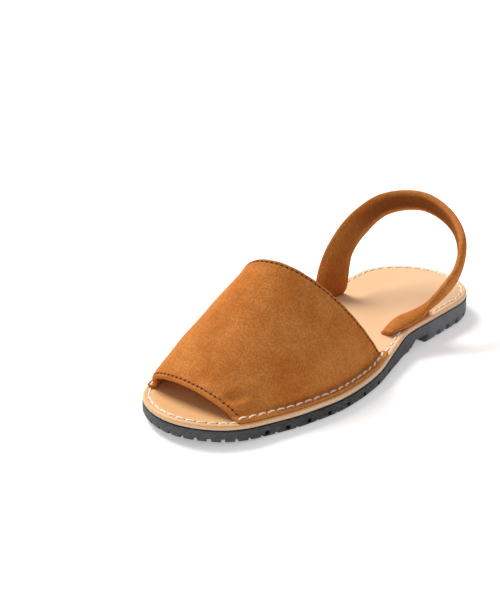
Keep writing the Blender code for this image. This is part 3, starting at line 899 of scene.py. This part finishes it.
def make_strap_margins():
    """The strap's margins that lie on the insole under the stitches, narrower at their ends."""
    for side, first, last, inner in STRAP_MARGINS:
        rows = []
        for k in range(41):
            share = k / 40
            along = (first + (last - first) * share - 0.5) * SOLE_LENGTH
            out_x = float(edge_x(side, along, MARGIN_INSET))
            in_x = side * inner * HEEL_WIDTH
            wide = (0.12 + 0.88 * math.sin(math.pi * share) ** 0.5) * (out_x - in_x)
            base = float(insole_top(np.array([station_of(along)]))[0]) + 0.1 * MM
            top = STRAP_MARGIN + CLEARANCE
            sag = -0.3 * MM * math.cos(2 * math.pi * along / STITCH_PITCH)
            rows.append([(in_x, along, base), (in_x + wide, along, base),
                         (in_x + wide, along, base + 0.55 * top),
                         (in_x + 0.92 * wide, along, base + 0.9 * top),
                         (in_x + 0.7 * wide, along, base + top),
                         (in_x + 0.45 * wide, along, base + top + sag), (in_x, along, base + top)])
        shape = bmesh.new()
        made = add_rows(shape, rows, closed=True)
        shape.faces.new(made[0])
        shape.faces.new(made[-1])
        bmesh.ops.triangulate(shape, faces=[f for f in shape.faces if len(f.verts) > 4])
        name = "strap_margin_lateral" if side > 0 else "strap_margin_medial"
        piece = finished(shape, name, [strap_suede], smooth_angle=50)
        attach(piece, "root")


# Thread


def stitch_row_tree():
    """Stitches of one thread laid along a path, each a low arc, with a hole between each two."""
    tree = bpy.data.node_groups.new("stitch_row", "GeometryNodeTree")
    tree.interface.new_socket(name="Path", in_out="INPUT", socket_type="NodeSocketGeometry")
    sizes = ("Pitch", "Stitch length", "Thread radius", "Arc height", "Sink", "Hole radius", "Lean")
    for name in sizes:
        tree.interface.new_socket(name=name, in_out="INPUT", socket_type="NodeSocketFloat")
    tree.interface.new_socket(name="Seed", in_out="INPUT", socket_type="NodeSocketInt")
    tree.interface.new_socket(name="Thread", in_out="INPUT", socket_type="NodeSocketMaterial")
    tree.interface.new_socket(name="Hole", in_out="INPUT", socket_type="NodeSocketMaterial")
    tree.interface.new_socket(name="Stitches", in_out="OUTPUT", socket_type="NodeSocketGeometry")
    source = tree.nodes.new("NodeGroupInput").outputs

    def maths(operation, first, second):
        node = tree.nodes.new("ShaderNodeMath")
        node.operation = operation
        for socket, value in zip(node.inputs, (first, second)):
            if isinstance(value, (int, float)):
                socket.default_value = value
            else:
                tree.links.new(value, socket)
        return node.outputs[0]

    def place(x=None, z=None):
        links = {name: value for name, value in (("X", x), ("Z", z)) if value}
        return add_node(tree, "ShaderNodeCombineXYZ", links=links).outputs[0]

    curve = add_node(tree, "GeometryNodeMeshToCurve", links={"Mesh": source["Path"]})
    points = add_node(tree, "GeometryNodeCurveToPoints", {"mode": "LENGTH"},
                      links={"Curve": curve.outputs[0], "Length": source["Pitch"]})
    facing = add_node(tree, "GeometryNodeInputNamedAttribute", {"data_type": "FLOAT_VECTOR"},
                      {"Name": "facing"})
    upright = add_node(tree, "FunctionNodeAlignRotationToVector", {"axis": "Z"},
                       links={"Vector": facing.outputs["Attribute"]})
    ahead = add_node(tree, "FunctionNodeAlignRotationToVector", {"axis": "X", "pivot_axis": "Z"},
                     links={"Rotation": upright.outputs[0], "Vector": points.outputs["Tangent"]})
    turn = add_node(tree, "FunctionNodeRandomValue", {"data_type": "FLOAT"}, None, {"Seed": source["Seed"]})
    spread = [s for s in turn.inputs if s.type == "VALUE"]
    tree.links.new(maths("MULTIPLY", source["Lean"], -0.6), spread[0])
    tree.links.new(maths("MULTIPLY", source["Lean"], 1.4), spread[1])
    angle = [s for s in turn.outputs if s.type == "VALUE"][0]
    lean = add_node(tree, "FunctionNodeAxisAngleToRotation", None, {"Axis": (0, 0, 1)}, {"Angle": angle})
    final = add_node(tree, "FunctionNodeRotateRotation", {"rotation_space": "LOCAL"},
                     links={"Rotation": ahead.outputs[0], "Rotate By": lean.outputs[0]})
    half = maths("MULTIPLY", source["Stitch length"], 0.5)
    down = maths("MULTIPLY", source["Sink"], -1.0)
    arc = add_node(tree, "GeometryNodeCurveQuadraticBezier", None, {"Resolution": 8},
                   {"Start": place(maths("MULTIPLY", half, -1.0), down), "End": place(half, down),
                    "Middle": place(None, source["Arc height"])})
    ring = add_node(tree, "GeometryNodeCurvePrimitiveCircle", {"mode": "RADIUS"}, {"Resolution": 8},
                    {"Radius": source["Thread radius"]})
    tube = add_node(tree, "GeometryNodeCurveToMesh", None, {"Fill Caps": True},
                    {"Curve": arc.outputs[0], "Profile Curve": ring.outputs[0]})
    # each hole is a flat disc coloured with painted shade
    disc = add_node(tree, "GeometryNodeMeshCircle", {"fill_type": "NGON"}, {"Vertices": 10},
                    {"Radius": source["Hole radius"]})
    moved = add_node(tree, "GeometryNodeTransform", None, None,
                     {"Geometry": disc.outputs[0],
                      "Translation": place(maths("MULTIPLY", source["Pitch"], 0.5))})
    join = tree.nodes.new("GeometryNodeJoinGeometry")
    for shape, material in ((tube.outputs[0], "Thread"), (moved.outputs[0], "Hole")):
        laid = add_node(tree, "GeometryNodeInstanceOnPoints", None, None,
                        {"Points": points.outputs["Points"], "Instance": shape,
                         "Rotation": final.outputs[0]})
        real = add_node(tree, "GeometryNodeRealizeInstances", links={"Geometry": laid.outputs[0]})
        coloured = add_node(tree, "GeometryNodeSetMaterial", None, None,
                            {"Geometry": real.outputs[0], "Material": source[material]})
        tree.links.new(coloured.outputs[0], join.inputs[0])
    goal = tree.nodes.new("NodeGroupOutput")
    tree.links.new(join.outputs[0], goal.inputs["Stitches"])
    return tree


stitch_row = stitch_row_tree()


def lay_stitches(name, points, facing, closed, slot, **sizes):
    """Lays a row of stitches along points, standing along facing, as one plain mesh."""
    mesh = bpy.data.meshes.new(name + "_path")
    count = len(points)
    edges = [(k, k + 1) for k in range(count - 1)]
    if closed:
        edges.append((count - 1, 0))
    mesh.from_pydata([tuple(map(float, p)) for p in points], edges, [])
    attribute = mesh.attributes.new("facing", "FLOAT_VECTOR", "POINT")
    attribute.data.foreach_set("vector", np.asarray(facing, dtype=np.float32).ravel())
    path = placed(name + "_path", mesh)
    modifier = path.modifiers.new("stitches", "NODES")
    modifier.node_group = stitch_row
    identifiers = {item.name: item.identifier for item in stitch_row.interface.items_tree
                   if item.in_out == "INPUT"}
    for key, value in sizes.items():
        modifier[identifiers[key.replace("_", " ").capitalize()]] = value
    graph = bpy.context.evaluated_depsgraph_get()
    made = bpy.data.meshes.new_from_object(path.evaluated_get(graph), depsgraph=graph)
    made.name = name
    path.modifiers.remove(modifier)
    bpy.data.objects.remove(path)
    made.shade_smooth()
    for extra in [a.name for a in made.attributes if a.name == "facing"]:
        made.attributes.remove(made.attributes[extra])
    piece = placed(name, made)
    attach(piece, "root")


def perimeter_path():
    """The line of the pale stitches: on the insole, over the upper's flanges and the strap's margins."""
    ring = inset_outline(STITCH_INSET)
    closed = np.vstack([ring, ring[:1]])
    run = run_along(closed)
    even = np.linspace(0, run[-1], 900, endpoint=False)
    ring = np.column_stack([np.interp(even, run, closed[:, k]) for k in (0, 1)])
    station = station_of(ring[:, 1])
    height = insole_top(station) - CHANNEL_DEPTH * 0.8
    side = np.sign(ring[:, 0])
    lift = np.zeros(len(ring))
    tab = FLANGE_TAB / SOLE_LENGTH * 0.8
    ramp = 1.2 * MM / SOLE_LENGTH
    for which, column in ((1, 0), (-1, 1)):
        first, last = UPPER_EDGES[0][column] + 0.001, UPPER_EDGES[1][column] + tab
        over = np.clip((station - first) / ramp, 0, 1) * np.clip((last - station) / ramp, 0, 1)
        lift = np.maximum(lift, over * (side == which) * (SUEDE + CLEARANCE))
    for which, first, last, _ in STRAP_MARGINS:
        over = np.clip((station - first - 0.01) / ramp, 0, 1) * np.clip((last - 0.01 - station) / ramp, 0, 1)
        lift = np.maximum(lift, over * (side == which) * (STRAP_MARGIN + CLEARANCE + 0.1 * MM))
    return np.column_stack([ring, height + lift])


def make_perimeter_stitches():
    """Pale stitches all round, through the insole and the margins that lie on it."""
    points = perimeter_path()
    facing = np.tile((0.0, 0.0, 1.0), (len(points), 1))
    lay_stitches("perimeter_stitches", points, facing, True, "insole_leather",
                 pitch=STITCH_PITCH, stitch_length=STITCH_LENGTH, thread_radius=0.52 * MM,
                 arc_height=0.95 * MM, sink=0.25 * MM, hole_radius=0.45 * MM, lean=0.20,
                 seed=3, thread=pale_thread, hole=leather_hole)


def make_hem_stitches(outer, normal, from_front, from_back, to_side):
    """Brown stitches along the two folded hems, pulled into small holes."""
    for name, distance, line in (("front_hem_stitches", from_front, FRONT_HEM_LINE),
                                 ("back_hem_stitches", from_back, BACK_HEM_LINE)):
        order = np.argsort(distance)
        row = np.interp(line, distance[order], np.arange(len(distance))[order])
        low = int(math.floor(row))
        part = row - low
        points = outer[low] * (1 - part) + outer[low + 1] * part
        facing = normal[low] * (1 - part) + normal[low + 1] * part
        keep = to_side[low] > 5.0 * MM
        points, facing = points[keep], facing[keep]
        lay_stitches(name, points + facing * 0.22 * MM, facing, False, "suede",
                     pitch=HEM_PITCH, stitch_length=1.3 * MM, thread_radius=0.16 * MM,
                     arc_height=0.14 * MM, sink=0.20 * MM, hole_radius=0.62 * MM, lean=0.10,
                     seed=5, thread=brown_thread, hole=suede_hole)


# Studio


def make_floor():
    """A plain white sweep of paper under the shoe."""
    mesh = bpy.data.meshes.new("studio_floor")
    half = 6.0
    corners = [(-half, -half, 0), (half, -half, 0), (half, half, 0), (-half, half, 0)]
    mesh.from_pydata(corners, [], [(0, 1, 2, 3)])
    material = bpy.data.materials.new("matt_white_paper")
    material.use_nodes = True
    shader = material.node_tree.nodes["Principled BSDF"]
    shader.inputs["Base Color"].default_value = linear("#F7F7F7")
    shader.inputs["Roughness"].default_value = 0.9
    shader.inputs["Specular IOR Level"].default_value = 0.1
    shader.inputs["Emission Color"].default_value = (1.0, 1.0, 1.0, 1.0)
    shader.inputs["Emission Strength"].default_value = 0.35
    mesh.materials.append(material)
    floor = placed("studio_floor", mesh)


def make_light(name, place, aim, size, power, colour):
    data = bpy.data.lights.new(name, "AREA")
    data.shape = "RECTANGLE"
    data.size, data.size_y = size
    data.energy = power
    data.color = colour
    lamp = placed(name, data)
    lamp.location = place
    lamp.rotation_euler = (Vector(aim) - Vector(place)).to_track_quat("-Z", "Y").to_euler()


def make_studio():
    """Soft light from above and the left of the view, with a weak fill and a bright surround."""
    world = bpy.data.worlds.new("white_surround")
    bpy.context.scene.world = world
    world.use_nodes = True
    background = world.node_tree.nodes["Background"]
    background.inputs["Color"].default_value = (1.0, 1.0, 1.0, 1.0)
    background.inputs["Strength"].default_value = 0.36
    make_light("key", (-0.95, 0.05, 1.15), (0, 0, 0), (0.8, 0.8), 25.0, (1.0, 0.98, 0.95))
    make_light("fill", (0.55, -1.15, 0.85), (0, 0, 0.02), (0.9, 0.7), 2.0, (1.0, 1.0, 1.0))


def make_camera():
    """The photograph's own view: its place, direction and lens."""
    data = bpy.data.cameras.new("camera")
    data.sensor_fit = "VERTICAL"
    data.sensor_height = 36.0
    data.lens = 93.264
    data.clip_start = 0.05
    camera = placed("camera", data)
    camera.location = (0.4835, -0.6285, 0.3854)
    camera.rotation_euler = (math.radians(90 - 23.66), 0, math.radians(40.50))
    bpy.context.scene.camera = camera


make_outsole()
make_insole()
outer_face, face_normal, to_front, to_back, to_sides = make_upper()
make_heel_strap()
make_strap_margins()
make_perimeter_stitches()
make_hem_stitches(outer_face, face_normal, to_front, to_back, to_sides)
make_floor()
make_studio()
make_camera()
bpy.context.scene.view_settings.view_transform = "Standard"
